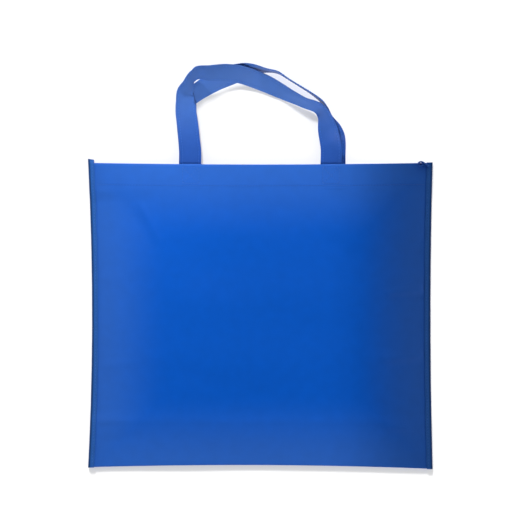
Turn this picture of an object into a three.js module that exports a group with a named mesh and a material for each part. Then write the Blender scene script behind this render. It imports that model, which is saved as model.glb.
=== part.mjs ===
// Non-woven shopping tote with a bottom gusset, bound sides and two strap handles.
// It lies on its back as it comes to rest: X across the bag, +Y towards the mouth, +Z up, in millimetres.
// The origin is the middle of the back panel's outer face, on the surface that the bag rests on.
import * as THREE from "three";

// Driving dimensions: the bag
const bagWidth = 400; // across the bag, over both bindings
const bagHeight = 354; // from the bottom folds to the mouth
const gussetFold = 50; // how far the bottom gusset folds in, half of its full depth
const hemDepth = 28; // turned in at the mouth
const sheetThickness = 0.6;
const layerGap = 0.3; // between layers that lie on each other

// Driving dimensions: how the soft bag lies
const puffHeight = 16; // middle of the front panel above the rest surface, at its highest
const mouthHeight = 11.5; // front panel at the middle of the mouth
const bottomFoldHeight = 4.6; // front panel at the middle of its bottom fold
const gussetLineHeight = 12; // front panel at the middle of the line where the gusset's crease shows
const leftWaist = 4.5; // how far the left side draws in at mid height
const rightWaist = 2.5; // how far the right side draws in at mid height
const bottomBow = 3.5; // how far the bottom edge draws up at its middle
const bottomSlant = 0.9; // how far the bottom edge drops at its right end, and rises at its left
const mouthBow = 2.4; // how far the mouth draws down at its middle
const highestShare = 0.45; // where along the height the front panel is highest
const sideRise = 22; // width of the strip in which the back panel rises to its binding
const stackFade = 15; // length over which the side stack thins from four layers to two
const doubledMargin = 3; // the side stack stays thick this far past the hem and the gusset

// Driving dimensions: the side bindings
const bindingWidth = 7; // seen from above
const bindingBulge = 2.2; // how far the folded binding stands out past its lips
const bottomTail = 0.3; // binding past the bottom folds
const leftTail = 4.6; // binding past the mouth, cut long
const rightTail = 0.3; // binding past the mouth

// Driving dimensions: the handles
const strapWidth = 24.4;
const strapThickness = 1.2;
const legSpacing = 164; // between the middles of a handle's two legs
const legShift = 3; // the handles sit a little right of the bag's middle
const handleReach = 113; // from the mouth to the top of a handle's middle line
const strapEndInset = 2; // strap ends stop this far short of the hem's raw edge

// Worked out from the driving dimensions
const layerPitch = sheetThickness + layerGap;
const foldRadius = layerPitch / 2;
const halfHeight = bagHeight / 2;
const foldCentre = halfHeight - sheetThickness / 2 - foldRadius;
const creaseCentre = -halfHeight + gussetFold - sheetThickness / 2 - foldRadius;
const hemEdge = halfHeight - hemDepth;
const gussetTop = -halfHeight + gussetFold + doubledMargin;
const bindingFoldStart = bagWidth / 2 - sheetThickness / 2 - bindingBulge;
const bindingLip = bagWidth / 2 - bindingWidth;
const sheetHalfWidth = bindingFoldStart - layerGap;
const domeHalfWidth = bindingLip - sheetThickness;
const backLevel = sheetThickness / 2;
const edgeBackLevel = backLevel + layerPitch;
const handleGap = layerGap * 1.5; // seats clear of a hem that is not quite level
const handleBase = halfHeight - mouthBow / 2; // the mouth's edge, about where the legs leave it

const clothMaterial = new THREE.MeshStandardMaterial({ color: 0x1a5fc4, roughness: 0.85, metalness: 0 });
const bindingMaterial = new THREE.MeshStandardMaterial({ color: 0x1957b4, roughness: 0.85, metalness: 0 });
const strapMaterial = new THREE.MeshStandardMaterial({ color: 0x2a63bf, roughness: 0.85, metalness: 0 });

const { clamp, degToRad, lerp, smoothstep } = THREE.MathUtils;

// A closed sheet from rows of points on its middle surface, thickened half to each side.
function sheetGeometry(rows, thickness) {
  const last = { row: rows.length - 1, column: rows[0].length - 1 };
  const at = (row, column) => rows[clamp(row, 0, last.row)][clamp(column, 0, last.column)];
  const positions = [];
  for (const side of [1, -1]) {
    rows.forEach((points, row) =>
      points.forEach((point, column) => {
        const across = at(row, column + 1).clone().sub(at(row, column - 1));
        const along = at(row + 1, column).clone().sub(at(row - 1, column));
        const normal = across.cross(along).normalize();
        positions.push(...point.clone().addScaledVector(normal, (side * thickness) / 2).toArray());
      }),
    );
  }
  const columns = last.column + 1;
  const top = (row, column) => row * columns + column;
  const under = (row, column) => rows.length * columns + top(row, column);
  const triangles = [];
  const quad = (a, b, c, d) => triangles.push(a, b, c, a, c, d);
  for (let row = 0; row < last.row; row++) {
    for (let column = 0; column < last.column; column++) {
      const next = [row + 1, column + 1];
      quad(top(row, column), top(row, column + 1), top(...next), top(row + 1, column));
      quad(under(row, column), under(row + 1, column), under(...next), under(row, column + 1));
    }
  }
  const wall = (from, to) => quad(top(...to), top(...from), under(...from), under(...to));
  for (let row = 0; row < last.row; row++) {
    wall([row + 1, 0], [row, 0]);
    wall([row, last.column], [row + 1, last.column]);
  }
  for (let column = 0; column < last.column; column++) {
    wall([0, column], [0, column + 1]);
    wall([last.row, column + 1], [last.row, column]);
  }
  const geometry = new THREE.BufferGeometry();
  geometry.setAttribute("position", new THREE.Float32BufferAttribute(positions, 3));
  geometry.setIndex(triangles);
  geometry.computeVertexNormals();
  return geometry;
}

// The sides and the two ends of the flat bag draw in a little towards their middles, and its bottom slants.
function drawnIn(x, y, z) {
  const acrossShare = (2 * x) / bagWidth;
  const alongShare = y / halfHeight;
  const waist = ((x < 0 ? leftWaist : rightWaist) / (bagWidth / 2)) * (1 - alongShare ** 2);
  const bow = ((y < 0 ? bottomBow : mouthBow) / halfHeight) * (1 - acrossShare ** 2);
  const slant = bottomSlant * acrossShare * Math.max(-alongShare, 0);
  return new THREE.Vector3(x * (1 - waist), y * (1 - bow) - slant, z);
}

// 1 where the sides hold four layers, at the hem and at the bottom gusset, and 0 where they hold two.
const gussetFade = [gussetTop, gussetTop + stackFade];
const hemFade = [hemEdge - doubledMargin - stackFade, hemEdge - doubledMargin];
const doubled = (y) => Math.max(smoothstep(y, ...hemFade), 1 - smoothstep(y, ...gussetFade));

// Places from one value to another, evenly spread.
function spread(from, to, steps) {
  return Array.from({ length: steps + 1 }, (_, step) => lerp(from, to, step / steps));
}

// Places along the sides, from the bottom folds to the mouth, that the front panel and the bindings share.
const sidePlaces = [
  ...spread(-foldCentre, -halfHeight + gussetFold, 4),
  gussetFade[0],
  ...spread(...gussetFade, 4).slice(1),
  ...spread(gussetFade[1], hemFade[0], 9).slice(1),
  ...spread(...hemFade, 4).slice(1),
  ...spread(hemFade[1], foldCentre, 3).slice(1),
];

// Levels of each layer's middle surface.
const sideShare = (x) => Math.min(Math.abs(x) / domeHalfWidth, 1) ** 3;
const frontAtSide = (y) => edgeBackLevel + layerPitch * (1 + 2 * doubled(y));
const backAt = (x) =>
  lerp(backLevel, edgeBackLevel, smoothstep(Math.abs(x), domeHalfWidth - sideRise, domeHalfWidth));

function frontAtMiddle(y) {
  const gussetLine = -halfHeight + gussetFold;
  const highest = lerp(-halfHeight, halfHeight, highestShare);
  if (y < gussetLine) {
    return lerp(bottomFoldHeight, gussetLineHeight, (y + halfHeight) / gussetFold);
  }
  if (y < highest) {
    const share = (y - gussetLine) / (highest - gussetLine);
    return lerp(gussetLineHeight, puffHeight, Math.sin((Math.PI / 2) * share));
  }
  return lerp(puffHeight, mouthHeight, smoothstep(y, highest, halfHeight));
}

const frontAt = (x, y) => lerp(frontAtMiddle(y), frontAtSide(y), sideShare(x));

function creaseAt(x) {
  const atSide = edgeBackLevel + layerPitch + foldRadius;
  const atMiddle = (backLevel + bottomFoldHeight) / 2 + foldRadius;
  return lerp(atMiddle, atSide, sideShare(x));
}

// The body's path from the front hem's raw edge round to the back hem's, as functions of x giving [y, z].
function bodyPath() {
  const path = [];
  const stretch = (places, level) => places.forEach((y) => path.push((x) => [y, level(x, y)]));
  const fold = (centreY, outward, upper, downwards) => {
    for (const angle of spread(0, Math.PI, 6).slice(1, -1)) {
      const height = downwards ? Math.cos(angle) : -Math.cos(angle);
      path.push((x) => [
        centreY + outward * foldRadius * Math.sin(angle),
        upper(x) - foldRadius + foldRadius * height,
      ]);
    }
  };
  const frontHem = (x, y) => frontAt(x, y) - layerPitch;
  const backHem = (x) => backAt(x) + layerPitch;
  const gussetShare = (y) => (y + foldCentre) / (creaseCentre + foldCentre);
  const gussetFront = (x, y) =>
    lerp(frontHem(x, -foldCentre), creaseAt(x) + foldRadius, gussetShare(y));
  const gussetBack = (x, y) => lerp(backHem(x), creaseAt(x) - foldRadius, gussetShare(y));

  stretch(spread(hemEdge, foldCentre, 3), frontHem);
  fold(foldCentre, 1, (x) => frontAt(x, foldCentre), false);
  stretch(sidePlaces.toReversed(), frontAt);
  fold(-foldCentre, -1, (x) => frontAt(x, -foldCentre), true);
  stretch(spread(-foldCentre, creaseCentre, 4), gussetFront);
  fold(creaseCentre, 1, (x) => creaseAt(x) + foldRadius, true);
  stretch(spread(creaseCentre, -foldCentre, 4), gussetBack);
  fold(-foldCentre, -1, backHem, true);
  stretch(spread(-foldCentre, foldCentre, 8), backAt);
  fold(foldCentre, 1, backHem, false);
  stretch(spread(foldCentre, hemEdge, 3), backHem);
  return path;
}

// Front panel, bottom gusset, back panel and both hems: one sheet, folded.
function bodyGeometry() {
  const domed = spread(-90, 90, 20).map((angle) => domeHalfWidth * Math.sin(degToRad(angle)));
  const places = [-sheetHalfWidth, ...domed, sheetHalfWidth];
  const rows = bodyPath().map((place) => places.map((x) => drawnIn(x, ...place(x))));
  return sheetGeometry(rows, sheetThickness);
}

// A strip folded round the raw edges of one side, from below its bottom corner to past its mouth corner.
function bindingGeometry(side, mouthTail) {
  const rows = [-halfHeight - bottomTail, ...sidePlaces, halfHeight + mouthTail].map((y) => {
    const upper = frontAtSide(y) + layerPitch;
    const folded = spread(-90, 90, 8).map((angle) => [
      bindingFoldStart + bindingBulge * Math.cos(degToRad(angle)),
      lerp(backLevel, upper, (1 + Math.sin(degToRad(angle))) / 2),
    ]);
    const section = [[bindingLip, backLevel], ...folded, [bindingLip, upper]];
    return section.map(([x, z]) => drawnIn(side * x, y, z));
  });
  return sheetGeometry(rows, sheetThickness);
}

// Each handle's route beyond the mouth, chosen by hand. A row is the place across in half leg spacings,
// the place along in shares of the reach, the height of the strap's inner edge in strap widths, the angle
// in degrees by which its outer edge tilts up, and the angle by which that edge turns ahead along the run.
const frontRoute = [
  [-1.02, 0.12, 0.33, 0, 0],
  [-1.04, 0.26, 0.34, 2, 0],
  [-1.06, 0.4, 0.35, 9, 0],
  [-1.08, 0.53, 0.37, 21, 0],
  [-1.09, 0.63, 0.41, 30, 0],
  [-1.09, 0.71, 0.51, 39, -5],
  [-1.04, 0.78, 0.65, 54, 12],
  [-0.98, 0.87, 0.75, 60, 46],
  [-0.91, 0.91, 0.74, 59, 12],
  [-0.73, 0.91, 0.63, 48, 8],
  [-0.51, 0.92, 0.43, 42, 4],
  [-0.29, 0.9, 0.25, 38, 2],
  [-0.07, 0.85, 0.12, 38, 0],
  [0.17, 0.77, 0.07, 47, 0],
  [0.38, 0.69, 0.05, 59, 0],
  [0.58, 0.62, 0.06, 66, 0],
  [0.78, 0.56, 0.15, 62, -12],
  [0.87, 0.47, 0.33, 52, 16],
  [0.91, 0.35, 0.37, 24, 4],
  [0.96, 0.17, 0.34, 2, 0],
];
const backRoute = [
  [-1.04, 0.14, 0.06, 0, 0],
  [-1.07, 0.39, 0.04, 0, 0],
  [-1.09, 0.56, 0.04, 3, 0],
  [-1.07, 0.66, 0.04, 16, 0],
  [-0.97, 0.71, 0.04, 39, 0],
  [-0.73, 0.82, 0.04, 31, 0],
  [-0.48, 0.9, 0.04, 29, 0],
  [-0.28, 0.94, 0.04, 42, 0],
  [-0.13, 0.96, 0.04, 66, 0],
  [0.03, 0.95, 0.04, 84, 0],
  [0.2, 0.93, 0.04, 91, 0],
  [0.38, 0.85, 0.04, 93, 0],
  [0.56, 0.77, 0.04, 93, 0],
  [0.73, 0.69, 0.04, 91, 0],
  [0.84, 0.62, 0.04, 87, 0],
  [0.89, 0.55, 0.04, 81, 0],
  [0.93, 0.45, 0.04, 68, 0],
  [0.99, 0.33, 0.04, 30, 0],
  [1.02, 0.24, 0.05, 4, 0],
  [1.02, 0.08, 0.06, 0, 0],
];

// A flat strap along a route, with both ends flat against the inside of a hem.
function handleGeometry(route, seatLevel) {
  const endInset = hemDepth - strapEndInset;
  const seats = (x, places) => places.map((y) => [x, handleBase + y, seatLevel(x), 0, 0]);
  const free = route.map(([across, along, lift, tilt, turn]) => [
    legShift + (across * legSpacing) / 2,
    handleBase + along * handleReach,
    (lift + Math.sin(degToRad(tilt)) / 2) * strapWidth,
    degToRad(tilt),
    degToRad(turn),
  ]);
  const points = [
    ...seats(free[0][0], [-endInset, -endInset / 2, 0]),
    ...free,
    ...seats(free.at(-1)[0], [0, -endInset / 2, -endInset]),
  ];
  const line = new THREE.CatmullRomCurve3(points.map(([x, y, z]) => new THREE.Vector3(x, y, z)));
  const leans = new THREE.SplineCurve(points.map(([, , , tilt, turn]) => new THREE.Vector2(tilt, turn)));
  const rows = spread(0, 1, 108).map((run) => {
    const share = line.getUtoTmapping(run);
    const middle = line.getPoint(share);
    const ahead = line.getTangent(share).setZ(0).normalize();
    const { x: tilt, y: turn } = leans.getPoint(share);
    const width = new THREE.Vector3(-ahead.y, ahead.x, 0)
      .multiplyScalar(Math.cos(turn))
      .addScaledVector(ahead, Math.sin(turn))
      .multiplyScalar(Math.cos(tilt))
      .setZ(Math.sin(tilt));
    return spread(0.5, -0.5, 3).map((place) => middle.clone().addScaledVector(width, place * strapWidth));
  });
  return sheetGeometry(rows, strapThickness);
}

// Where a strap lies against the inside of the front hem, and against that of the back hem.
const strapStandOff = layerPitch + sheetThickness / 2 + handleGap + strapThickness / 2;
const frontSeat = (x) => frontAt(Math.abs(x) + strapWidth / 2, halfHeight) - strapStandOff;
const backSeat = (x) => backAt(x) + strapStandOff;

function piece(name, geometry, material) {
  const mesh = new THREE.Mesh(geometry, material);
  mesh.name = name;
  return mesh;
}

const toteBag = new THREE.Group();
toteBag.add(
  piece("bag_body", bodyGeometry(), clothMaterial),
  piece("left_binding", bindingGeometry(-1, leftTail), bindingMaterial),
  piece("right_binding", bindingGeometry(1, rightTail), bindingMaterial),
  piece("front_handle", handleGeometry(frontRoute, frontSeat), strapMaterial),
  piece("back_handle", handleGeometry(backRoute, backSeat), strapMaterial),
);

export default toteBag;
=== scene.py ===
import math

import bpy
import numpy as np
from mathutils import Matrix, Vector


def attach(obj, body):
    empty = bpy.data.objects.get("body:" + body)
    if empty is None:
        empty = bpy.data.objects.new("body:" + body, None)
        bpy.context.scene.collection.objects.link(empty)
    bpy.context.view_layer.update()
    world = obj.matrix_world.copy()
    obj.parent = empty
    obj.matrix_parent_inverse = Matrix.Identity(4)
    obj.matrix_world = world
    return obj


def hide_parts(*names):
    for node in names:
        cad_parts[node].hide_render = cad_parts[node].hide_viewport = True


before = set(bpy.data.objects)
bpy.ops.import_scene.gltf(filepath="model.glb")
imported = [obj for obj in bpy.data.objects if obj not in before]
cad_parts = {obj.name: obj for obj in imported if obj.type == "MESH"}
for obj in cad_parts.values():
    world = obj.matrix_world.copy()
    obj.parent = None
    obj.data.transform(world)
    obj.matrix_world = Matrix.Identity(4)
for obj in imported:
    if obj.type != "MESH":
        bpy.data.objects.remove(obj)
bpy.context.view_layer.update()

MM = 0.001
SEED = 41
random = np.random.default_rng(SEED)

# Camera: straight down on the bag, from far enough away for nearly parallel lines
VIEW_CENTRE = (5.34, 58.45)
VIEW_SPAN = 615.6
CAMERA_HEIGHT = 2000
SENSOR_WIDTH = 36
CLIP_END = 50
scene = bpy.context.scene
scene.view_settings.view_transform = "Standard"
camera = bpy.data.objects.new("camera", bpy.data.cameras.new("camera"))
camera.location = (VIEW_CENTRE[0] * MM, VIEW_CENTRE[1] * MM, CAMERA_HEIGHT * MM)
camera.data.sensor_width = SENSOR_WIDTH
camera.data.lens = SENSOR_WIDTH * CAMERA_HEIGHT / VIEW_SPAN
camera.data.clip_end = CLIP_END
scene.collection.objects.link(camera)
scene.camera = camera

# The bag's dimensions, as its solids have them, in millimetres
BAG_WIDTH = 400
BAG_HEIGHT = 354
GUSSET_FOLD = 50
HEM_DEPTH = 28
SHEET = 0.6
LAYER_GAP = 0.3
PUFF_HEIGHT = 16
MOUTH_HEIGHT = 11.5
BOTTOM_FOLD_HEIGHT = 4.6
GUSSET_LINE_HEIGHT = 12
LEFT_WAIST = 4.5
RIGHT_WAIST = 2.5
BOTTOM_BOW = 3.5
BOTTOM_SLANT = 0.9
MOUTH_BOW = 2.4
HIGHEST_SHARE = 0.45
SIDE_RISE = 22
STACK_FADE = 15
DOUBLED_MARGIN = 3
BINDING_WIDTH = 7
BINDING_BULGE = 2.2
BINDING_FLAT_WIDTH = 15.6
BOTTOM_TAIL = 0.3
LEFT_TAIL = 4.6
RIGHT_TAIL = 0.3
STRAP_WIDTH = 24.4
STRAP_THICKNESS = 1.2
LEG_SPACING = 164
LEG_SHIFT = 3
LEFT_LEG_SHARE = 1.02
RIGHT_LEG_SHARE = 0.985
HANDLE_REACH = 113
STRAP_END_INSET = 2
STITCH_INSET = 3
STITCH_LENGTH = 2.6

PITCH = SHEET + LAYER_GAP
FOLD = PITCH / 2
HALF_HEIGHT = BAG_HEIGHT / 2
HANDLE_BASE = HALF_HEIGHT - MOUTH_BOW / 2
FOLD_CENTRE = HALF_HEIGHT - SHEET / 2 - FOLD
CREASE_CENTRE = -HALF_HEIGHT + GUSSET_FOLD - SHEET / 2 - FOLD
HEM_EDGE = HALF_HEIGHT - HEM_DEPTH
HEM_SEAM = HEM_EDGE + STITCH_INSET
GUSSET_LINE = -HALF_HEIGHT + GUSSET_FOLD
BINDING_FOLD_START = BAG_WIDTH / 2 - SHEET / 2 - BINDING_BULGE
BINDING_LIP = BAG_WIDTH / 2 - BINDING_WIDTH
SHEET_HALF_WIDTH = BINDING_FOLD_START - LAYER_GAP
DOME_HALF_WIDTH = BINDING_LIP - SHEET
BACK_LEVEL = SHEET / 2
EDGE_BACK_LEVEL = BACK_LEVEL + PITCH
GUSSET_FADE = (GUSSET_LINE + DOUBLED_MARGIN, GUSSET_LINE + DOUBLED_MARGIN + STACK_FADE)
HEM_FADE = (HEM_EDGE - DOUBLED_MARGIN - STACK_FADE, HEM_EDGE - DOUBLED_MARGIN)
LEG_PLACES = (LEG_SHIFT - LEFT_LEG_SHARE * LEG_SPACING / 2, LEG_SHIFT + RIGHT_LEG_SHARE * LEG_SPACING / 2)


def lerp(a, b, share):
    return a + (b - a) * share


def smoothstep(value, low, high):
    share = np.clip((value - low) / (high - low), 0, 1)
    return share * share * (3 - 2 * share)


def bell(value, width):
    return np.exp(-((value / width) ** 2))


# Levels of the bag's layers, before any wrinkle
def drawn_in(x, y, z):
    across, along = 2 * x / BAG_WIDTH, y / HALF_HEIGHT
    waist = np.where(x < 0, LEFT_WAIST, RIGHT_WAIST) / (BAG_WIDTH / 2) * (1 - along ** 2)
    bow = np.where(y < 0, BOTTOM_BOW, MOUTH_BOW) / HALF_HEIGHT * (1 - across ** 2)
    slant = BOTTOM_SLANT * across * np.maximum(-along, 0)
    return np.stack([x * (1 - waist), y * (1 - bow) - slant, z], axis=-1)


def doubled(y):
    return np.maximum(smoothstep(y, *HEM_FADE), 1 - smoothstep(y, *GUSSET_FADE))


def side_share(x):
    return np.minimum(np.abs(x) / DOME_HALF_WIDTH, 1) ** 3


def front_at_side(y):
    return EDGE_BACK_LEVEL + PITCH * (1 + 2 * doubled(y))


def front_at_middle(y):
    highest = lerp(-HALF_HEIGHT, HALF_HEIGHT, HIGHEST_SHARE)
    low = lerp(BOTTOM_FOLD_HEIGHT, GUSSET_LINE_HEIGHT, (y + HALF_HEIGHT) / GUSSET_FOLD)
    rising = np.sin(np.pi / 2 * np.clip((y - GUSSET_LINE) / (highest - GUSSET_LINE), 0, 1))
    middle = lerp(GUSSET_LINE_HEIGHT, PUFF_HEIGHT, rising)
    upper = lerp(PUFF_HEIGHT, MOUTH_HEIGHT, smoothstep(y, highest, HALF_HEIGHT))
    return np.where(y < GUSSET_LINE, low, np.where(y < highest, middle, upper))


def front_plain(x, y):
    return lerp(front_at_middle(y), front_at_side(y), side_share(x))


def back_plain(x):
    rise = smoothstep(np.abs(x), DOME_HALF_WIDTH - SIDE_RISE, DOME_HALF_WIDTH)
    return lerp(BACK_LEVEL, EDGE_BACK_LEVEL, rise)


# Wrinkles. A row is a soft ridge from one place to another: x, y, x, y, half width and height.
FRONT_RIDGES = [
    (196, 31, 150, 27, 4.5, 1.3),
    (196, 21, 158, 20, 4.5, -1.1),
    (196, -45, 146, -50, 5, 1.3),
    (196, -56, 156, -60, 5, -0.9),
    (196, -133, 150, -129, 5, 1.2),
    (196, 96, 166, 92, 5, 0.6),
    (-140, 128, -119, 87, 4.5, 0.7),
    (-150, 119, -130, 84, 6, -0.5),
    (-111, -70, -98, -106, 4.5, 0.6),
    (-95, -66, -58, -82, 8, -0.6),
    (-82, -84, -72, -92, 7, 0.6),
    (-196, -60, -158, -54, 5, 0.6),
    (-196, 40, -164, 44, 5, 0.5),
    (-196, -152, -150, -140, 6, -0.5),
    (30, -20, 92, -44, 14, 0.5),
    (70, 92, 128, 60, 12, -0.5),
    (-40, 60, 20, 30, 14, 0.4),
]


def ridges(x, y, rows):
    total = np.zeros(np.broadcast(x, y).shape)
    for x0, y0, x1, y1, width, height in rows:
        run = (x1 - x0) ** 2 + (y1 - y0) ** 2
        share = np.clip(((x - x0) * (x1 - x0) + (y - y0) * (y1 - y0)) / run, 0, 1)
        aside = np.hypot(x - lerp(x0, x1, share), y - lerp(y0, y1, share))
        total += height * bell(aside, width)
    return total


SCATTER_ACROSS = (-185, 185)
SCATTER_ALONG = (-165, 140)
SCATTER_REACH = (8, 28)
SCATTER_WIDTH = (4, 9)
SCATTER_SHARE = (0.4, 1)
WAVE_SHARE = (0.5, 1)


def scattered_ridges(count, height):
    rows = []
    for _ in range(count):
        x, y = random.uniform(*SCATTER_ACROSS), random.uniform(*SCATTER_ALONG)
        angle, reach = random.uniform(0, np.pi), random.uniform(*SCATTER_REACH)
        across, along = reach * math.cos(angle), reach * math.sin(angle)
        rows.append((x - across, y - along, x + across, y + along, random.uniform(*SCATTER_WIDTH),
                     random.choice((-1, 1)) * random.uniform(*SCATTER_SHARE) * height))
    return rows


def waves(count, shortest, longest, height):
    return [(2 * np.pi / random.uniform(shortest, longest), random.uniform(0, 2 * np.pi),
             random.uniform(0, 2 * np.pi), height * random.uniform(*WAVE_SHARE)) for _ in range(count)]


def wave_sum(x, y, rows):
    return sum(height * np.sin(pace * (x * np.cos(turn) + y * np.sin(turn)) + start)
               for pace, turn, start, height in rows)


FRONT_SCATTER = scattered_ridges(count=46, height=0.26)
FRONT_WAVES = waves(count=9, shortest=70, longest=170, height=0.2)
BACK_WAVES = waves(count=9, shortest=50, longest=140, height=0.1)
PUCKER_WAVES = waves(count=7, shortest=6.5, longest=17, height=0.09)
LIP_WAVES = waves(count=6, shortest=9, longest=46, height=0.1)
STRAP_WAVES = waves(count=10, shortest=10, longest=60, height=0.05)


# How the panels rise over the strap ends, the hems and the gusset's crease, and dip along the seams
SEAT_RISE = 0.35
SEAT_SIDES = (11.5, 15)
SEAT_START = (HEM_EDGE - 3, HEM_EDGE + 1)
HELD_START = (HEM_EDGE - 8, HEM_EDGE)
HELD_SHARE = 0.55
HEM_RISE = 0.06
HEM_START = (HEM_EDGE - 3, HEM_EDGE + 0.8)
FRONT_GROOVE = 0.03
BACK_GROOVE = 0.22
GROOVE_WIDTH = 1.1
CREASE_RISE = 0.25
CREASE_RISE_ABOVE = 3.5
CREASE_RISE_WIDTH = 5
CREASE_DIP = 0.12
CREASE_DIP_BELOW = 1.5
CREASE_DIP_WIDTH = 2.6
PUCKER_REACH = 9
FREE_MARGIN = 5
BACK_MARGIN = 8
BACK_RESTS = (105, 140)


def seat_share(x, y):
    seats = sum(1 - smoothstep(np.abs(x - place), *SEAT_SIDES) for place in LEG_PLACES)
    return seats * smoothstep(y, *SEAT_START)


def front_detail(x, y):
    side = np.abs(x)
    free = 1 - smoothstep(side, DOME_HALF_WIDTH - FREE_MARGIN, DOME_HALF_WIDTH)
    seat = seat_share(x, y)
    loose = ridges(x, y, FRONT_RIDGES) + ridges(x, y, FRONT_SCATTER) + wave_sum(x, y, FRONT_WAVES)
    loose *= (1 - seat) * (1 - HELD_SHARE * smoothstep(y, *HELD_START))
    near_side = np.exp(-np.maximum(DOME_HALF_WIDTH - side, 0) / PUCKER_REACH)
    pucker = wave_sum(y, 0 * x, PUCKER_WAVES) * near_side
    hem = HEM_RISE * smoothstep(y, *HEM_START) - FRONT_GROOVE * bell(y - HEM_SEAM, GROOVE_WIDTH)
    crease = CREASE_RISE * bell(y - GUSSET_LINE - CREASE_RISE_ABOVE, CREASE_RISE_WIDTH)
    crease -= CREASE_DIP * bell(y - GUSSET_LINE + CREASE_DIP_BELOW, CREASE_DIP_WIDTH)
    return free * (loose + pucker + hem + crease + SEAT_RISE * seat)


def back_detail(x, y):
    away = 1 - smoothstep(np.abs(x), DOME_HALF_WIDTH - BACK_MARGIN, DOME_HALF_WIDTH)
    loose = np.maximum(wave_sum(x, y, BACK_WAVES), 0) * (1 - smoothstep(np.abs(y), *BACK_RESTS))
    return away * (loose + BACK_GROOVE * bell(y - HEM_SEAM, GROOVE_WIDTH))


def front_at(x, y):
    return front_plain(x, y) + front_detail(x, y)


def back_at(x, y):
    return back_plain(x) + back_detail(x, y)


# Meshes
SHARP_ANGLE = 55
bag_pieces = []


def add_piece(name, points, faces, flat, material):
    mesh = bpy.data.meshes.new(name)
    mesh.from_pydata((points * MM).tolist(), [], [list(face) for face in faces])
    layer = mesh.uv_layers.new(name="cloth")
    corners = np.empty(len(mesh.loops), dtype=np.int32)
    mesh.loops.foreach_get("vertex_index", corners)
    layer.data.foreach_set("uv", (flat[corners] * MM).ravel())
    mesh.shade_smooth()
    mesh.set_sharp_from_angle(angle=math.radians(SHARP_ANGLE))
    mesh.materials.append(material)
    obj = bpy.data.objects.new(name, mesh)
    scene.collection.objects.link(obj)
    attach(obj, "root")
    bag_pieces.append(obj)
    return obj


def grid_normals(rows):
    across = np.concatenate([rows[:, 1:], rows[:, -1:]], 1) - np.concatenate([rows[:, :1], rows[:, :-1]], 1)
    along = np.concatenate([rows[1:], rows[-1:]], 0) - np.concatenate([rows[:1], rows[:-1]], 0)
    normals = np.cross(across, along)
    return normals / np.linalg.norm(normals, axis=-1, keepdims=True)


def flat_places(rows):
    across = np.linalg.norm(np.diff(rows, axis=1), axis=-1).mean(0)
    along = np.linalg.norm(np.diff(rows, axis=0), axis=-1).mean(1)
    u = np.concatenate([[0], np.cumsum(across)])
    v = np.concatenate([[0], np.cumsum(along)])
    return np.stack(np.meshgrid(u, v), axis=-1).reshape(-1, 2)


def add_sheet(name, rows, thickness, material):
    """A closed sheet round rows of points on its middle surface."""
    count, columns = rows.shape[:2]
    half = grid_normals(rows) * thickness / 2
    points = np.concatenate([(rows + half).reshape(-1, 3), (rows - half).reshape(-1, 3)])
    at = np.arange(count * columns).reshape(count, columns)
    under = at + count * columns

    def quads(a, b, c, d):
        return np.stack([a.ravel(), b.ravel(), c.ravel(), d.ravel()], axis=-1)

    def wall(line, line_under):
        return quads(line[1:], line[:-1], line_under[:-1], line_under[1:])

    faces = np.concatenate([
        quads(at[:-1, :-1], at[:-1, 1:], at[1:, 1:], at[1:, :-1]),
        quads(under[:-1, :-1], under[1:, :-1], under[1:, 1:], under[:-1, 1:]),
        wall(at[::-1, 0], under[::-1, 0]),
        wall(at[:, -1], under[:, -1]),
        wall(at[0], under[0]),
        wall(at[-1, ::-1], under[-1, ::-1]),
    ])
    flat = flat_places(rows)
    return add_piece(name, points, faces, np.concatenate([flat, flat]), material)


# Rings of a stitch: share of its length, share of the thread's radius, and height above the surface
THREAD_RINGS = np.array([
    (0, 0.35, -0.16), (0.14, 0.9, 0.1), (0.5, 1, 0.16), (0.86, 0.9, 0.1), (1, 0.35, -0.16),
])
THREAD_RADIUS = 0.22
THREAD_SIDES = 6
THREAD_SIDE_WIDTH = 0.23


def add_stitches(name, starts, ends, normals, material):
    """Short arched lengths of thread, each from a start to an end, on a surface with that normal."""
    starts, ends, normals = (np.asarray(a, dtype=float) for a in (starts, ends, normals))
    run = ends - starts
    sideways = np.cross(normals, run)
    sideways /= np.linalg.norm(sideways, axis=-1, keepdims=True)
    points, faces = [], []
    angles = np.linspace(0, 2 * np.pi, THREAD_SIDES, endpoint=False)
    for along, girth, height in THREAD_RINGS:
        middle = starts + run * along + normals * height
        for angle in angles:
            spoke = sideways * np.cos(angle) + normals * np.sin(angle)
            points.append(middle + THREAD_RADIUS * girth * spoke)
    points = np.stack(points, axis=1)
    rings = len(THREAD_RINGS)
    around = range(THREAD_SIDES)
    for stitch in range(len(starts)):
        base = stitch * rings * THREAD_SIDES
        for ring in range(rings - 1):
            low = base + ring * THREAD_SIDES
            high = low + THREAD_SIDES
            for k in around:
                after = (k + 1) % THREAD_SIDES
                faces.append((low + k, high + k, high + after, low + after))
        faces.append([base + k for k in around])
        faces.append([base + (rings - 1) * THREAD_SIDES + k for k in reversed(around)])
    u = np.repeat(THREAD_RINGS[:, 0] * STITCH_LENGTH, THREAD_SIDES)
    v = np.tile(np.arange(THREAD_SIDES) * THREAD_SIDE_WIDTH, rings)
    flat = np.tile(np.stack([u, v], axis=-1), (len(starts), 1))
    return add_piece(name, points.reshape(-1, 3), faces, flat, material)


# Materials
def ramp(nodes, stops):
    node = nodes.new("ShaderNodeValToRGB")
    while len(node.color_ramp.elements) < len(stops):
        node.color_ramp.elements.new(0.5)
    for element, (place, colour) in zip(node.color_ramp.elements, stops):
        element.position = place
        element.color = (*colour, 1)
    return node


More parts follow.
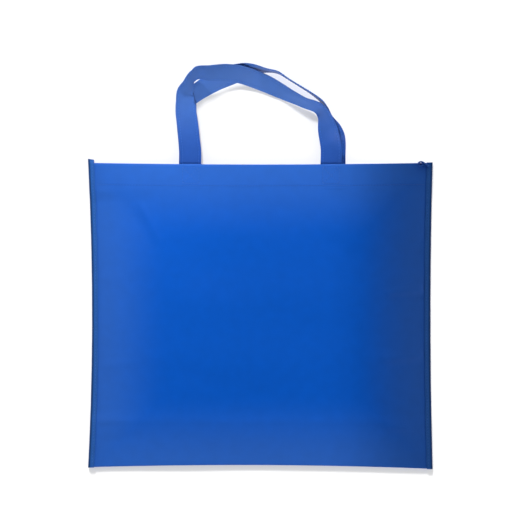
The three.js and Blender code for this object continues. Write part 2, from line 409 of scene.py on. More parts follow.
def noise(nodes, links, vector, scale, detail, stretch=(1, 1, 1)):
    place = nodes.new("ShaderNodeMapping")
    place.inputs["Scale"].default_value = stretch
    links.new(vector, place.inputs["Vector"])
    node = nodes.new("ShaderNodeTexNoise")
    node.inputs["Scale"].default_value = scale
    node.inputs["Detail"].default_value = detail
    links.new(place.outputs["Vector"], node.inputs["Vector"])
    return node.outputs["Fac"]


def math_node(nodes, links, operation, first, second):
    node = nodes.new("ShaderNodeMath")
    node.operation = operation
    for socket, value in zip(node.inputs, (first, second)):
        if isinstance(value, (int, float)):
            socket.default_value = value
        else:
            links.new(value, socket)
    return node.outputs["Value"]


def map_range(nodes, links, value, low, high, to_low, to_high, curve="LINEAR"):
    node = nodes.new("ShaderNodeMapRange")
    node.interpolation_type = curve
    node.inputs["From Min"].default_value = low
    node.inputs["From Max"].default_value = high
    node.inputs["To Min"].default_value = to_low
    node.inputs["To Max"].default_value = to_high
    links.new(value, node.inputs["Value"])
    return node.outputs["Result"]


def scaled(colour, factor):
    return tuple(channel * factor for channel in colour)


def add_relief(nodes, links, shader, height, strength, depth):
    relief = nodes.new("ShaderNodeBump")
    relief.inputs["Strength"].default_value = strength
    relief.inputs["Distance"].default_value = depth * MM
    links.new(height, relief.inputs["Height"])
    links.new(relief.outputs["Normal"], shader.inputs["Normal"])


def new_material(name):
    material = bpy.data.materials.new(name)
    material.use_nodes = True
    nodes, links = material.node_tree.nodes, material.node_tree.links
    shader = nodes["Principled BSDF"]
    place = nodes.new("ShaderNodeUVMap")
    place.uv_map = "cloth"
    return material, nodes, links, shader, place.outputs["UV"]


BOND_PITCH = 1.3
BOND_EDGE = (0.2, 0.36)
BOND_DEPTH = 0.12
BOND_TURN = 45
CLOTH_ROUGHNESS = 0.46
BOND_ROUGHNESS = 0.34
CLOTH_SPECULAR = 0.1
SHEEN_WEIGHT = 0.02
SHEEN_ROUGHNESS = 0.5
SHEEN_TINT = (0.75, 0.86, 1, 1)
WEB_SCALE = 75
WEB_DETAIL = 3
WEB_SHARE = 0.65
FIBRE_SCALE = 700
FIBRE_DETAIL = 4
FIBRE_STRETCH = (1, 2.6, 1)
FIBRE_SHARE = 0.35
FIBRE_HEIGHT = 0.6
TONE_PLACES = (0.3, 0.5, 0.7)


def bonded_cloth(name, colour, cloud, bump):
    """Spunbonded cloth: a mottled web of fine fibres, pressed together in a grid of small flat spots."""
    material, nodes, links, shader, place = new_material(name)
    shader.inputs["Specular IOR Level"].default_value = CLOTH_SPECULAR
    shader.inputs["Sheen Weight"].default_value = SHEEN_WEIGHT
    shader.inputs["Sheen Roughness"].default_value = SHEEN_ROUGHNESS
    shader.inputs["Sheen Tint"].default_value = SHEEN_TINT
    web = noise(nodes, links, place, WEB_SCALE, WEB_DETAIL)
    fibres = noise(nodes, links, place, FIBRE_SCALE, FIBRE_DETAIL, FIBRE_STRETCH)
    grid = nodes.new("ShaderNodeMapping")
    grid.inputs["Rotation"].default_value = (0, 0, math.radians(BOND_TURN))
    grid.inputs["Scale"].default_value = (1 / (BOND_PITCH * MM),) * 3
    links.new(place, grid.inputs["Vector"])
    cells = nodes.new("ShaderNodeTexVoronoi")
    cells.voronoi_dimensions = "2D"
    cells.inputs["Scale"].default_value = 1
    cells.inputs["Randomness"].default_value = 0
    links.new(grid.outputs["Vector"], cells.inputs["Vector"])
    bond = map_range(nodes, links, cells.outputs["Distance"], *BOND_EDGE, 1, 0)
    mottle = math_node(nodes, links, "ADD", math_node(nodes, links, "MULTIPLY", web, WEB_SHARE),
                       math_node(nodes, links, "MULTIPLY", fibres, FIBRE_SHARE))
    tones = (scaled(colour, 1 - cloud), colour, scaled(colour, 1 + cloud))
    tone = ramp(nodes, list(zip(TONE_PLACES, tones)))
    links.new(mottle, tone.inputs["Fac"])
    links.new(tone.outputs["Color"], shader.inputs["Base Color"])
    roughness = map_range(nodes, links, bond, 0, 1, CLOTH_ROUGHNESS, BOND_ROUGHNESS)
    links.new(roughness, shader.inputs["Roughness"])
    raised = math_node(nodes, links, "MULTIPLY", fibres, FIBRE_HEIGHT)
    height = math_node(nodes, links, "SUBTRACT", raised, bond)
    add_relief(nodes, links, shader, height, bump, BOND_DEPTH)
    return material


# Sockets of a colour mix: its factor, its two colours and its result
MIX_FACTOR, MIX_FIRST, MIX_SECOND, MIX_RESULT = 0, 6, 7, 2


def tinted(material, blend, colour, factor):
    """Blends another colour into a cloth's own, by a factor from 0 to 1."""
    nodes, links = material.node_tree.nodes, material.node_tree.links
    base = nodes["Principled BSDF"].inputs["Base Color"]
    mix = nodes.new("ShaderNodeMix")
    mix.data_type = "RGBA"
    mix.blend_type = blend
    links.new(factor, mix.inputs[MIX_FACTOR])
    links.new(base.links[0].from_socket, mix.inputs[MIX_FIRST])
    mix.inputs[MIX_SECOND].default_value = (*colour, 1)
    links.new(mix.outputs[MIX_RESULT], base)


def flat_axes(material):
    """Places across and along a flat piece of cloth, in metres."""
    nodes, links = material.node_tree.nodes, material.node_tree.links
    place = nodes.new("ShaderNodeUVMap")
    place.uv_map = "cloth"
    split = nodes.new("ShaderNodeSeparateXYZ")
    links.new(place.outputs["UV"], split.inputs["Vector"])
    return nodes, links, split.outputs["X"], split.outputs["Y"]


# Painted sheen: a whitish tint added to the panel's colour towards its sides, mouth and bottom fold
EDGE_SHEEN_TINT = (0.025, 0.036, 0)
EDGE_SHEEN_REACH = 90


def painted_edge_sheen(material):
    """A panel paler towards its sides, its mouth and its bottom fold: a painted sheen, a whitish haze added
    to its colour.
    """
    nodes, links, across, along = flat_axes(material)
    width = 2 * SHEET_HALF_WIDTH * MM
    side = math_node(nodes, links, "MINIMUM", across, math_node(nodes, links, "SUBTRACT", width, across))
    crease = (HEM_DEPTH + BAG_HEIGHT + GUSSET_FOLD) * MM
    run = math_node(nodes, links, "ABSOLUTE", math_node(nodes, links, "SUBTRACT", along, crease), 0)
    from_mouth = math_node(nodes, links, "SUBTRACT", (BAG_HEIGHT + GUSSET_FOLD) * MM, run)
    from_bottom = math_node(nodes, links, "SUBTRACT", run, GUSSET_FOLD * MM)
    end = math_node(nodes, links, "MINIMUM", from_mouth, from_bottom)
    inward = math_node(nodes, links, "MINIMUM", side, end)
    share = map_range(nodes, links, inward, 0, EDGE_SHEEN_REACH * MM, 1, 0, "SMOOTHSTEP")
    tinted(material, "ADD", EDGE_SHEEN_TINT, share)


# Painted shade: the binding's colour darkened along its fold and at its raw edges
PAINTED_SHADE_FACTOR = (0.42, 0.42, 0.42)
FOLD_SHADE_STOPS = [(0, 1), (0.04, 0), (0.3, 0), (0.37, 1), (0.63, 1), (0.7, 0), (0.96, 0), (1, 1)]


def painted_fold_shade(material):
    """A binding darker along its fold and at its two raw edges: painted shade on the fold's roll and along
    its lips.
    """
    nodes, links, across, _ = flat_axes(material)
    share = math_node(nodes, links, "DIVIDE", across, BINDING_FLAT_WIDTH * MM)
    dark = ramp(nodes, [(place, (level,) * 3) for place, level in FOLD_SHADE_STOPS])
    links.new(share, dark.inputs["Fac"])
    tinted(material, "MULTIPLY", PAINTED_SHADE_FACTOR, dark.outputs["Color"])


# Painted sheen: a whitish tint added to the strap's colour along its loop, away from its ends
LOOP_SHEEN_TINT = (0.03, 0.045, 0.01)
LOOP_START = 30
LOOP_FULL = 120


def painted_loop_sheen(material, length):
    """A strap paler along its loop than near its two ends: a painted sheen added along the loop."""
    nodes, links, _, along = flat_axes(material)
    from_end = math_node(nodes, links, "SUBTRACT", length * MM, along)
    nearest = math_node(nodes, links, "MINIMUM", along, from_end)
    share = map_range(nodes, links, nearest, LOOP_START * MM, LOOP_FULL * MM, 0, 1, "SMOOTHSTEP")
    tinted(material, "ADD", LOOP_SHEEN_TINT, share)


PLY_SCALE = 260
PLY_DISTORTION = 1.2
PLY_BUMP = 0.5
PLY_DEPTH = 0.06
PLY_TONES = ((0.15, 0.72), (0.8, 1.12))
THREAD_ROUGHNESS = 0.5
THREAD_SPECULAR = 0.45


def sewing_thread(name, colour):
    """Spun polyester thread: two plies twisted round each other."""
    material, nodes, links, shader, place = new_material(name)
    shader.inputs["Roughness"].default_value = THREAD_ROUGHNESS
    shader.inputs["Specular IOR Level"].default_value = THREAD_SPECULAR
    plies = nodes.new("ShaderNodeTexWave")
    plies.wave_type = "BANDS"
    plies.bands_direction = "DIAGONAL"
    plies.inputs["Scale"].default_value = PLY_SCALE
    plies.inputs["Distortion"].default_value = PLY_DISTORTION
    links.new(place, plies.inputs["Vector"])
    tone = ramp(nodes, [(spot, scaled(colour, level)) for spot, level in PLY_TONES])
    links.new(plies.outputs["Fac"], tone.inputs["Fac"])
    links.new(tone.outputs["Color"], shader.inputs["Base Color"])
    add_relief(nodes, links, shader, plies.outputs["Fac"], PLY_BUMP, PLY_DEPTH)
    return material


PANEL_BLUE = (0.0012, 0.0977, 0.57)
BINDING_BLUE = (0.028, 0.132, 0.48)
SPARE_BLUE = (0.02, 0.1, 0.45)
STRAP_BLUE = (0.0225, 0.093, 0.42)
THREAD_BLUE = (0.03, 0.15, 0.6)
body_cloth = bonded_cloth("bag_cloth", PANEL_BLUE, cloud=0.05, bump=0.3)
# Painted sheen towards the panel's edges
painted_edge_sheen(body_cloth)
binding_cloth = bonded_cloth("binding_cloth", BINDING_BLUE, cloud=0.08, bump=0.35)
# Painted shade along the binding's fold and raw edges
painted_fold_shade(binding_cloth)
spare_cloth = bonded_cloth("spare_cloth", SPARE_BLUE, cloud=0.08, bump=0.35)
strap_cloth = bonded_cloth("strap_cloth", STRAP_BLUE, cloud=0.08, bump=0.35)
thread = sewing_thread("thread", THREAD_BLUE)


# The body: front hem, front panel, gusset, back panel and back hem in one folded sheet. Its rows lie
# closest along the hem's seam and the gusset's crease.
PANEL_COLUMNS = 143
SIDE_CROWDING = 0.35
FOLD_STEPS = 6
CREASE_LOW = GUSSET_LINE - 8
CREASE_HIGH = GUSSET_LINE + 12
HEM_LOW = HEM_EDGE - 4
SEAM_PLACES = HEM_SEAM + np.linspace(-1.2, 1.2, 5)
HEM_PLACES = np.concatenate([
    [HEM_EDGE, HEM_EDGE + 1.5], SEAM_PLACES, np.linspace(HEM_SEAM + 4, FOLD_CENTRE, 7),
])
FRONT_PLACES = np.concatenate([
    np.linspace(-FOLD_CENTRE, CREASE_LOW, 17)[:-1],
    np.linspace(CREASE_LOW, CREASE_HIGH, 15)[:-1],
    np.linspace(CREASE_HIGH, HEM_LOW, 92)[:-1],
    np.linspace(HEM_LOW, HEM_EDGE + 1.4, 8),
    SEAM_PLACES,
    np.linspace(HEM_SEAM + 3.4, FOLD_CENTRE, 9),
])
BACK_PLACES = np.concatenate([
    np.linspace(-FOLD_CENTRE, HEM_EDGE, 44), SEAM_PLACES, np.linspace(HEM_SEAM + 5, FOLD_CENTRE, 5),
])
GUSSET_PLACES = np.linspace(-FOLD_CENTRE, CREASE_CENTRE, 14)


def body_rows():
    inner = np.linspace(-1, 1, PANEL_COLUMNS)
    inner = DOME_HALF_WIDTH * lerp(inner, np.sin(inner * np.pi / 2), SIDE_CROWDING)
    between = (SHEET_HALF_WIDTH + DOME_HALF_WIDTH) / 2
    x = np.concatenate([[-SHEET_HALF_WIDTH, -between], inner, [between, SHEET_HALF_WIDTH]])
    rows = []

    def stretch(places, level):
        for y in places:
            along = np.full_like(x, y)
            rows.append(drawn_in(x, along, level(x, along)))

    def fold(centre, outward, upper, downwards):
        for angle in np.pi * np.arange(1, FOLD_STEPS) / FOLD_STEPS:
            height = math.cos(angle) if downwards else -math.cos(angle)
            along = np.full_like(x, centre + outward * FOLD * math.sin(angle))
            rows.append(drawn_in(x, along, upper - FOLD + FOLD * height))

    def front_hem(x, y):
        return front_at(x, y) - PITCH

    def back_hem(x, y):
        return back_at(x, y) + PITCH

    def crease_at(x):
        at_side = EDGE_BACK_LEVEL + PITCH + FOLD
        at_middle = (BACK_LEVEL + BOTTOM_FOLD_HEIGHT) / 2 + FOLD
        return lerp(at_middle, at_side, side_share(x))

    def gusset_share(y):
        return (y + FOLD_CENTRE) / (CREASE_CENTRE + FOLD_CENTRE)

    def gusset_front(x, y):
        return lerp(front_hem(x, np.full_like(x, -FOLD_CENTRE)), crease_at(x) + FOLD, gusset_share(y))

    def gusset_back(x, y):
        return lerp(back_hem(x, np.full_like(x, -FOLD_CENTRE)), crease_at(x) - FOLD, gusset_share(y))

    mouth = np.full_like(x, FOLD_CENTRE)
    stretch(HEM_PLACES, front_hem)
    fold(FOLD_CENTRE, 1, front_at(x, mouth), False)
    stretch(FRONT_PLACES[::-1], front_at)
    fold(-FOLD_CENTRE, -1, front_at(x, -mouth), True)
    stretch(GUSSET_PLACES, gusset_front)
    fold(CREASE_CENTRE, 1, crease_at(x) + FOLD, True)
    stretch(GUSSET_PLACES[::-1], gusset_back)
    fold(-FOLD_CENTRE, -1, back_hem(x, -mouth), True)
    stretch(BACK_PLACES, back_at)
    fold(FOLD_CENTRE, 1, back_hem(x, mouth), False)
    stretch(HEM_PLACES[::-1], back_hem)
    return np.stack(rows)


body = add_sheet("bag_body_cloth", body_rows(), SHEET, body_cloth)
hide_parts("bag_body")


# The bindings: a strip folded round each side's raw edges, its ends cut by hand
BINDING_ROWS = 150
TAIL_SHARES = np.array([0.25, 0.5, 0.75, 1])
BINDING_ANGLES = np.radians(np.linspace(-90, 90, 13))
STRIP_SHARES = np.linspace(0, 1, 4)[:-1]
STRIP_SWELL = np.array([0.5, 1, 0.7])
FOLD_SWELL = 0.4
FOLD_EASE = 0.1
LIP_SHIFT = 31
SWELL_SHIFT = 77
SWELL_SHARE = 0.5
TAIL_SLANT = 0.2
TAIL_CLOSING = 0.55
TAIL_LIFT = 0.9
LONG_TAIL = 2


def lip_swell(y, side):
    return SWELL_SHARE * wave_sum(y + SWELL_SHIFT * side, 0, LIP_WAVES)


def binding_rows(side, mouth_tail):
    rows = []
    places = np.concatenate([
        [-HALF_HEIGHT - BOTTOM_TAIL, -HALF_HEIGHT - BOTTOM_TAIL / 2],
        np.linspace(-HALF_HEIGHT, HALF_HEIGHT, BINDING_ROWS),
        HALF_HEIGHT + mouth_tail * TAIL_SHARES,
    ])
    for y in places:
        past = max(y - HALF_HEIGHT, -HALF_HEIGHT - y, 0)
        tail = past / mouth_tail if y > 0 else past / BOTTOM_TAIL
        upper = front_at_side(np.array(y)) + PITCH
        upper = lerp(upper, BACK_LEVEL + 2 * PITCH, TAIL_CLOSING * tail)
        lip = BINDING_LIP + wave_sum(y + LIP_SHIFT * side, 0, LIP_WAVES)
        swell = lip_swell(y, side)
        bulge = BINDING_BULGE - FOLD_EASE + FOLD_SWELL * swell
        folded_x = BINDING_FOLD_START + bulge * np.cos(BINDING_ANGLES)
        folded_z = lerp(BACK_LEVEL, upper, (1 + np.sin(BINDING_ANGLES)) / 2)
        strip_x = lerp(lip, BINDING_FOLD_START, STRIP_SHARES)
        strip_z = upper + STRIP_SWELL * max(swell, 0)
        x = np.concatenate([strip_x, folded_x, strip_x[::-1]])
        z = np.concatenate([np.full(len(STRIP_SHARES), BACK_LEVEL), folded_z, strip_z])
        inward = (BAG_WIDTH / 2 - x) / BINDING_WIDTH
        along = y - TAIL_SLANT * past * inward if y > 0 else np.full_like(x, y)
        if y > 0 and mouth_tail > LONG_TAIL:
            z = z + TAIL_LIFT * tail ** 2
        rows.append(drawn_in(side * x, along, z))
    return np.stack(rows)


left_binding = add_sheet("left_binding_strip", binding_rows(-1, LEFT_TAIL), SHEET, binding_cloth)
right_binding = add_sheet("right_binding_strip", binding_rows(1, RIGHT_TAIL), SHEET, binding_cloth)
for strip, node in ((left_binding, "left_binding"), (right_binding, "right_binding")):
    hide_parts(node)


# The handles. A row of a route is the place across in half leg spacings, the place along in shares of the
# reach, the height of the strap's inner edge in strap widths, the tilt of its outer edge in degrees, and
# the angle by which that edge turns ahead along the run.
FRONT_ROUTE = [
    (-1.02, 0.12, 0.33, 0, 0), (-1.04, 0.26, 0.34, 2, 0), (-1.06, 0.4, 0.35, 9, 0),
    (-1.08, 0.53, 0.37, 21, 0), (-1.09, 0.63, 0.41, 30, 0), (-1.09, 0.71, 0.51, 39, -5),
    (-1.04, 0.78, 0.65, 54, 12), (-0.98, 0.87, 0.75, 60, 46), (-0.91, 0.91, 0.74, 59, 12),
    (-0.73, 0.91, 0.63, 48, 8), (-0.51, 0.92, 0.43, 42, 4), (-0.29, 0.9, 0.25, 38, 2),
    (-0.07, 0.85, 0.12, 38, 0), (0.17, 0.77, 0.07, 47, 0), (0.38, 0.69, 0.05, 59, 0),
    (0.58, 0.62, 0.06, 66, 0), (0.78, 0.56, 0.15, 62, -12), (0.87, 0.47, 0.33, 52, 16),
    (0.91, 0.35, 0.37, 24, 4), (0.96, 0.17, 0.34, 2, 0),
]
BACK_ROUTE = [
    (-1.04, 0.14, 0.06, 0, 0), (-1.07, 0.39, 0.04, 0, 0), (-1.09, 0.56, 0.04, 3, 0),
    (-1.07, 0.66, 0.04, 16, 0), (-0.97, 0.71, 0.04, 39, 0), (-0.73, 0.82, 0.04, 31, 0),
    (-0.48, 0.9, 0.04, 29, 0), (-0.28, 0.94, 0.04, 42, 0), (-0.13, 0.96, 0.04, 66, 0),
    (0.03, 0.95, 0.04, 84, 0), (0.2, 0.93, 0.04, 91, 0), (0.38, 0.85, 0.04, 93, 0),
    (0.56, 0.77, 0.04, 93, 0), (0.73, 0.69, 0.04, 91, 0), (0.84, 0.62, 0.04, 87, 0),
    (0.89, 0.55, 0.04, 81, 0), (0.93, 0.45, 0.04, 68, 0), (0.99, 0.33, 0.04, 30, 0),
    (1.02, 0.24, 0.05, 4, 0), (1.02, 0.08, 0.06, 0, 0),
]
STAND_OFF = PITCH + SHEET / 2 + LAYER_GAP * 1.5 + STRAP_THICKNESS / 2


def front_seat(x):
    return front_plain(abs(x) + STRAP_WIDTH / 2, HALF_HEIGHT) - STAND_OFF


def back_seat(x):
    return back_plain(x) + STAND_OFF


CURVE_END_GAP = 1e-9


def centripetal(points, shares):
    """Places on a centripetal Catmull-Rom curve, at shares of its run of points."""
    padded = np.concatenate([[2 * points[0] - points[1]], points, [2 * points[-1] - points[-2]]])
    gaps = np.linalg.norm(np.diff(padded, axis=0), axis=1) ** 0.5
    place = np.clip(shares * (len(points) - 1), 0, len(points) - 1 - CURVE_END_GAP)
    leg = place.astype(int)
    share = (place - leg)[:, None]
    p0, p1, p2, p3 = (padded[leg + k] for k in range(4))
    d0, d1, d2 = (gaps[leg + k][:, None] for k in range(3))
    t1 = ((p1 - p0) / d0 - (p2 - p0) / (d0 + d1) + (p2 - p1) / d1) * d1
    t2 = ((p2 - p1) / d1 - (p3 - p1) / (d1 + d2) + (p3 - p2) / d2) * d1
    return (p1 + t1 * share + (3 * (p2 - p1) - 2 * t1 - t2) * share ** 2
            + (2 * (p1 - p2) + t1 + t2) * share ** 3)


def even_spline(values, shares):
    """Values on a uniform Catmull-Rom curve, at shares of their run."""
    place = np.clip(shares * (len(values) - 1), 0, len(values) - 1 - CURVE_END_GAP)
    leg = place.astype(int)
    share = place - leg
    v0, v1, v2, v3 = (values[np.clip(leg + k, 0, len(values) - 1)] for k in (-1, 0, 1, 2))
    a, b = (v2 - v0) / 2, (v3 - v1) / 2
    return ((2 * v1 - 2 * v2 + a + b) * share ** 3 + (3 * (v2 - v1) - 2 * a - b) * share ** 2
            + a * share + v1)


STRAP_STEPS = 300
CURVE_STEPS = 4000
TANGENT_STEP = 1e-4


def strap_frames(route, seat_level):
    """Evenly spaced places on a strap's middle line, with its width and normal directions."""
    inset = HEM_DEPTH - STRAP_END_INSET
    free = []
    for across, along, lift, tilt_degrees, turn_degrees in route:
        tilt, turn = math.radians(tilt_degrees), math.radians(turn_degrees)
        x, y = LEG_SHIFT + across * LEG_SPACING / 2, HANDLE_BASE + along * HANDLE_REACH
        free.append((x, y, (lift + math.sin(tilt) / 2) * STRAP_WIDTH, tilt, turn))

    def seats(x, places):
        return [(x, HANDLE_BASE + place, seat_level(x), 0, 0) for place in places]

    run = np.array([*seats(free[0][0], (-inset, -inset / 2, 0)), *free,
                    *seats(free[-1][0], (0, -inset / 2, -inset))], dtype=float)
    points = run[:, :3]
    fine = np.linspace(0, 1, CURVE_STEPS + 1)
    line = centripetal(points, fine)
    length = np.concatenate([[0], np.cumsum(np.linalg.norm(np.diff(line, axis=0), axis=1))])
    shares = np.interp(np.linspace(0, length[-1], STRAP_STEPS), length, fine)
    middle = centripetal(points, shares)
    after = centripetal(points, np.clip(shares + TANGENT_STEP, 0, 1))
    before = centripetal(points, np.clip(shares - TANGENT_STEP, 0, 1))
    tangent = after - before
    tangent /= np.linalg.norm(tangent, axis=1, keepdims=True)
    tilt, turn = (even_spline(run[:, k], shares)[:, None] for k in (3, 4))
    ahead = tangent * (1, 1, 0)
    ahead /= np.linalg.norm(ahead, axis=1, keepdims=True)
    outward = np.stack([-ahead[:, 1], ahead[:, 0], ahead[:, 2]], axis=1)
    square = outward * np.cos(turn) + ahead * np.sin(turn)
    width = square * np.cos(tilt) + np.array([0, 0, 1]) * np.sin(tilt)
    normal = np.cross(tangent, width)
    normal /= np.linalg.norm(normal, axis=1, keepdims=True)
    return middle, width, normal, length[-1]


# Half thickness of the folded strap across its width: rounded folds, a groove under each row of stitches
HALF_STRAP = STRAP_WIDTH / 2
STITCH_ROW = HALF_STRAP - STITCH_INSET
FOLD_RADIUS = 0.9
EDGE_HALF_THICKNESS = 0.08
FOLDED_HALF_THICKNESS = 0.47
STRAP_GROOVE = 0.13
STRAP_GROOVE_WIDTH = 0.8
STRAP_SWELL = 0.05
STRAP_SWELL_WIDTH = 5
OUTER_PLACES = np.concatenate([
    HALF_STRAP - np.array([0, 0.12, 0.4, FOLD_RADIUS, 1.8]),
    STITCH_ROW + np.array([0.6, 0, -0.6, -1.6]),
    [5.5, 2.8],
])
STRAP_PLACES = np.concatenate([OUTER_PLACES, [0], -OUTER_PLACES[::-1]])


def strap_half_thickness(place):
    off = np.abs(place)
    edge = np.sqrt(1 - np.clip((off - HALF_STRAP + FOLD_RADIUS) / FOLD_RADIUS, 0, 1) ** 2)
    groove = STRAP_GROOVE * bell(off - STITCH_ROW, STRAP_GROOVE_WIDTH)
    swell = STRAP_SWELL * bell(off, STRAP_SWELL_WIDTH)
    return (EDGE_HALF_THICKNESS + FOLDED_HALF_THICKNESS * edge) - groove + swell


SEWN_RUN = 24
LOOSE_RUN = 34
RIPPLE_ACROSS = 2.2
STITCH_PACE = 3.3
STITCH_LIFT = 0.02
FIRST_STITCH = 2
LAST_STITCH = 4


def add_strap(name, route, seat_level, start):
    middle, width, normal, length = strap_frames(route, seat_level)
    along = np.linspace(0, length, STRAP_STEPS)
    loose = smoothstep(np.minimum(along, length - along), SEWN_RUN, LOOSE_RUN)
    across, run = np.meshgrid(STRAP_PLACES, along)
    ripple = wave_sum(run + start, across * RIPPLE_ACROSS, STRAP_WAVES) * loose[:, None]
    half = strap_half_thickness(across)

    def face(sign):
        lift = (ripple + sign * half)[..., None]
        return middle[:, None] + width[:, None] * across[..., None] + normal[:, None] * lift

    loop = np.concatenate([face(1), face(-1)[:, ::-1]], axis=1)
    count, columns = loop.shape[:2]
    at = np.arange(count * columns).reshape(count, columns)
    turned = np.roll(at, -1, axis=1)
    sides = np.stack([at[:-1], turned[:-1], turned[1:], at[1:]], axis=-1).reshape(-1, 4)
    faces = [tuple(face) for face in sides] + [tuple(at[0][::-1]), tuple(at[-1])]
    flat_across = np.concatenate([across, across[:, ::-1]], axis=1)
    flat = np.stack([flat_across, np.concatenate([run, run], axis=1)], axis=-1)
    strap = add_piece(name, loop.reshape(-1, 3), faces, flat.reshape(-1, 2), strap_cloth)

    def at_run(places, values):
        return np.stack([np.interp(places, along, values[:, k]) for k in range(3)], axis=1)

    begins = np.arange(FIRST_STITCH, length - LAST_STITCH, STITCH_PACE)
    starts, ends, normals = [], [], []
    for sign in (1, -1):
        for row in (STITCH_ROW, -STITCH_ROW):
            column = int(np.argmin(np.abs(STRAP_PLACES - row)))
            surface = face(sign)[:, column] + sign * normal * STITCH_LIFT
            starts.append(at_run(begins, surface))
            ends.append(at_run(begins + STITCH_LENGTH, surface))
            normals.append(sign * at_run(begins + STITCH_LENGTH / 2, normal))
    rows = (np.concatenate(part) for part in (starts, ends, normals))
    seam = add_stitches(name + "_stitches", *rows, thread)
    return strap, seam, length


BACK_WAVE_START = 170
front_strap, front_strap_seam, front_length = add_strap("front_strap", FRONT_ROUTE, front_seat, 0)
back_strap, back_strap_seam, back_length = add_strap("back_strap", BACK_ROUTE, back_seat, BACK_WAVE_START)
# Painted sheen along the straps' loops
painted_loop_sheen(strap_cloth, front_length)
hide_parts("front_handle")
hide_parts("back_handle")


# Seams of the bag: the hem, a crossed box over each strap end, and one row along each binding
PANEL_PACE = 3.4
BINDING_PACE = 3.6
THREAD_SHARE = 0.78
SEAM_MARGIN = 2
BOX_HALF_WIDTH = 9.5
BOX_LOW = HEM_SEAM + 2.5
BOX_HIGH = HALF_HEIGHT - 4
FRONT_THREAD_LIFT = 0.03
BACK_THREAD_SINK = 0.22
BINDING_THREAD_LEVEL = 0.2


def seam_line(start, end, pace):
    """The two ends of each stitch on a straight seam."""
    start, end = np.array(start, dtype=float), np.array(end, dtype=float)
    count = max(int(round(math.dist(start, end) / pace)), 1)
    begins = np.arange(count)[:, None] / count
    return np.stack([lerp(start, end, begins), lerp(start, end, begins + THREAD_SHARE / count)], axis=1)


def panel_seams(leg_places):
    inset = BINDING_LIP - SEAM_MARGIN
    lines = [((-inset, HEM_SEAM), (inset, HEM_SEAM))]
    for place in leg_places:
        left, right = place - BOX_HALF_WIDTH, place + BOX_HALF_WIDTH
        lines += [
            ((left, BOX_HIGH), (right, BOX_HIGH)),
            ((left, BOX_LOW), (left, BOX_HIGH)),
            ((right, BOX_LOW), (right, BOX_HIGH)),
            ((left, BOX_LOW), (right, BOX_LOW)),
            ((left, BOX_LOW), (right, BOX_HIGH)),
            ((left, BOX_HIGH), (right, BOX_LOW)),
        ]
    return np.concatenate([seam_line(start, end, PANEL_PACE) for start, end in lines])


def add_panel_seams(name, leg_places, level, sign):
    lines = panel_seams(leg_places)
    starts, ends = (drawn_in(x, y, level(x, y)) for x, y in (lines[:, 0].T, lines[:, 1].T))
    normals = np.tile((0, 0, sign), (len(lines), 1))
    seam = add_stitches(name, starts, ends, normals, thread)
    return seam


def legs(route):
    return [LEG_SHIFT + route[k][0] * LEG_SPACING / 2 for k in (0, -1)]


def front_thread_level(x, y):
    return front_at(x, y) + SHEET / 2 + FRONT_THREAD_LIFT


def back_thread_level(x, y):
    return back_at(x, y) - SHEET / 2 + BACK_THREAD_SINK


front_seam = add_panel_seams("front_panel_stitches", legs(FRONT_ROUTE), front_thread_level, 1)
back_seam = add_panel_seams("back_panel_stitches", legs(BACK_ROUTE), back_thread_level, -1)


def add_binding_seam(name, side):
    x, reach = BINDING_LIP + SEAM_MARGIN, HALF_HEIGHT - SEAM_MARGIN
    lines = seam_line((x, -reach), (x, reach), BINDING_PACE)
    starts, ends, normals = [], [], []
    for sign in (1, -1):
        for k, found in ((0, starts), (1, ends)):
            x, y = lines[:, k].T
            upper = front_at_side(y) + PITCH + np.maximum(lip_swell(y, side), 0) + SHEET / 2
            level = upper if sign > 0 else np.full_like(x, BINDING_THREAD_LEVEL)
            found.append(drawn_in(side * x, y, level))
        normals.append(np.tile((0, 0, sign), (len(lines), 1)))
    rows = (np.concatenate(part) for part in (starts, ends, normals))
    seam = add_stitches(name, *rows, thread)
    return seam


left_seam = add_binding_seam("left_binding_stitches", -1)
right_seam = add_binding_seam("right_binding_stitches", 1)


# The right binding's spare end, folded along its middle, standing on edge and curled back at the mouth
SPARE_RISE = 4.2
SPARE_PITCH = 0.55
SPARE_STEPS = 48
SPARE_SIDE_ROWS = 5
SPARE_FOLD_STEPS = 6
SPARE_FOOT = 1.5
SPARE_PATH = [
    (195.4, 172.4), (191, 175.2), (186.4, 177.8), (183.2, 176.8),
    (183.2, 174.4), (185.6, 173.2), (188.2, 174.2),
]


def spare_end_rows():
    foot = front_at_side(HALF_HEIGHT) + SPARE_FOOT
    points = np.array([(x, y, foot) for x, y in SPARE_PATH])
    path = centripetal(points, np.linspace(0, 1, SPARE_STEPS))
    along = np.gradient(path, axis=0)
    normal = np.stack([-along[:, 1], along[:, 0], 0 * along[:, 0]], axis=1)
    normal /= np.linalg.norm(normal, axis=1, keepdims=True)
    rise = np.linspace(0, SPARE_RISE, SPARE_SIDE_ROWS)
    turn = np.linspace(0, np.pi, SPARE_FOLD_STEPS + 1)[1:-1]
    side = np.concatenate([0 * rise - SPARE_PITCH, -SPARE_PITCH * np.cos(turn), 0 * rise + SPARE_PITCH])
    height = np.concatenate([rise, SPARE_RISE + SPARE_PITCH * np.sin(turn), rise[::-1]])
    up = np.stack([0 * height, 0 * height, height], axis=1)
    return path[:, None] + normal[:, None] * side[None, :, None] + up[None]


spare_rows = spare_end_rows()
spare_end = add_sheet("right_binding_end", spare_rows, SHEET, spare_cloth)


# Floor and light. The boxes light the bag alone. Two suns light the floor: the flat bag's shadow is thrown
# by the low one, and the front handle's by the high one.
FLOOR_REACH = 30
FLOOR_DROP = 0.0002
FLOOR_WHITE = (0.8, 0.8, 0.8, 1)
FLOOR_ROUGHNESS = 0.9
FLOOR_SPECULAR = 0.1
RING_STRENGTH = 0.73
RING_BAND = [(0.6, (1, 1, 1)), (0.9, (0.02, 0.02, 0.02))]
SUN_PLACE = (0, 0, 3)
FROM_MOUTH = (0, -0.707, -0.707)
FROM_ABOVE_MOUTH = (0, -0.75, -0.66)
FROM_BOTTOM = (0, 0.75, -0.66)


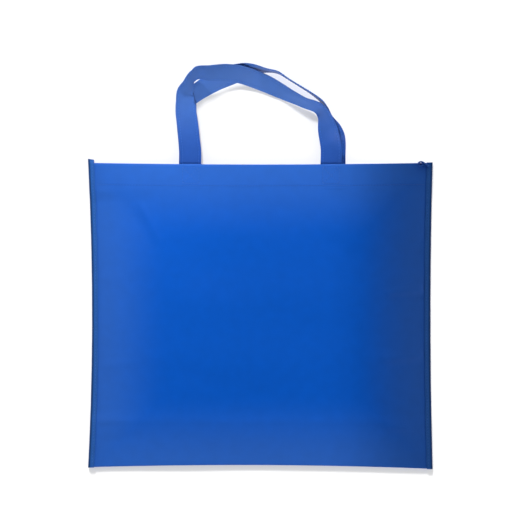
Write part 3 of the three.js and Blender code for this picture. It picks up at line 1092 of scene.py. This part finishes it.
def add_floor():
    mesh = bpy.data.meshes.new("floor")
    square = ((-1, -1), (1, -1), (1, 1), (-1, 1))
    corners = [(x * FLOOR_REACH, y * FLOOR_REACH, -FLOOR_DROP) for x, y in square]
    mesh.from_pydata(corners, [], [(0, 1, 2, 3)])
    material = bpy.data.materials.new("floor")
    material.use_nodes = True
    shader = material.node_tree.nodes["Principled BSDF"]
    shader.inputs["Base Color"].default_value = FLOOR_WHITE
    shader.inputs["Roughness"].default_value = FLOOR_ROUGHNESS
    shader.inputs["Specular IOR Level"].default_value = FLOOR_SPECULAR
    mesh.materials.append(material)
    floor = bpy.data.objects.new("floor", mesh)
    scene.collection.objects.link(floor)
    return floor


def group_of(name, objects):
    group = bpy.data.collections.new(name)
    for obj in objects:
        group.objects.link(obj)
    return group


def add_lamp(name, light, place, aim, lit):
    lamp = bpy.data.objects.new(name, light)
    lamp.location = place
    lamp.rotation_euler = Vector(aim).to_track_quat("-Z", "Y").to_euler()
    lamp.visible_camera = False
    scene.collection.objects.link(lamp)
    lamp.light_linking.receiver_collection = group_of(name + "_lit", lit)
    return lamp


def add_box_lamp(name, place, aim, size, spread, power, lit):
    light = bpy.data.lights.new(name, "AREA")
    light.shape = "RECTANGLE"
    light.size, light.size_y = size
    light.spread = math.radians(spread)
    light.energy = power
    add_lamp(name, light, place, aim, lit)


def add_floor_sun(name, aim, softness, strength, blockers):
    light = bpy.data.lights.new(name, "SUN")
    light.angle = math.radians(softness)
    light.energy = strength
    lamp = add_lamp(name, light, SUN_PLACE, aim, [floor])
    lamp.light_linking.blocker_collection = group_of(name + "_blockers", blockers)


def ring_world(strength):
    """Light from all round, and little from straight above."""
    world = bpy.data.worlds.new("studio")
    world.use_nodes = True
    nodes, links = world.node_tree.nodes, world.node_tree.links
    place = nodes.new("ShaderNodeTexCoord")
    split = nodes.new("ShaderNodeSeparateXYZ")
    links.new(place.outputs["Generated"], split.inputs["Vector"])
    band = ramp(nodes, RING_BAND)
    links.new(split.outputs["Z"], band.inputs["Fac"])
    links.new(band.outputs["Color"], nodes["Background"].inputs["Color"])
    nodes["Background"].inputs["Strength"].default_value = strength
    scene.world = world


floor = add_floor()
straps = [front_strap, back_strap, front_strap_seam, back_strap_seam]
panels = [piece for piece in bag_pieces if piece not in straps]
# A row is a box lamp's name, place and aim, its size in metres, its spread in degrees, its power in watts
# and what it lights
BOX_LAMPS = [
    ("main_box", (-0.045, 1.13, 1.13), FROM_MOUTH, (0.34, 0.6), 5, 0.386, panels),
    ("left_box", (-0.125, 1.21, 1.13), FROM_MOUTH, (0.12, 0.14), 10, 0.02, panels),
    ("top_box", (-0.055, 1.38, 0.95), FROM_ABOVE_MOUTH, (0.33, 0.23), 8, 0.115, panels),
    ("strap_box", (-0.075, 1.35, 1.13), FROM_MOUTH, (0.34, 0.3), 5, 0.178, straps),
    ("leg_box", (-0.088, 1.388, 1.13), FROM_MOUTH, (0.03, 0.05), 3, 0.006, straps),
    ("handle_box", (0.003, -0.665, 0.81), FROM_BOTTOM, (0.3, 0.1), 6, 0.066, straps),
]
# A row is a sun's name and aim, its softness in degrees, its strength and what throws its shadow
FLOOR_SUNS = [
    ("low_sun", (0.2, -1, -0.62), 12, 3, [body, left_binding, right_binding, spare_end]),
    ("high_sun", (0.22, -1, -1.06), 6, 2.1, [front_strap]),
]
for row in BOX_LAMPS:
    add_box_lamp(*row)
for row in FLOOR_SUNS:
    add_floor_sun(*row)
ring_world(RING_STRENGTH)
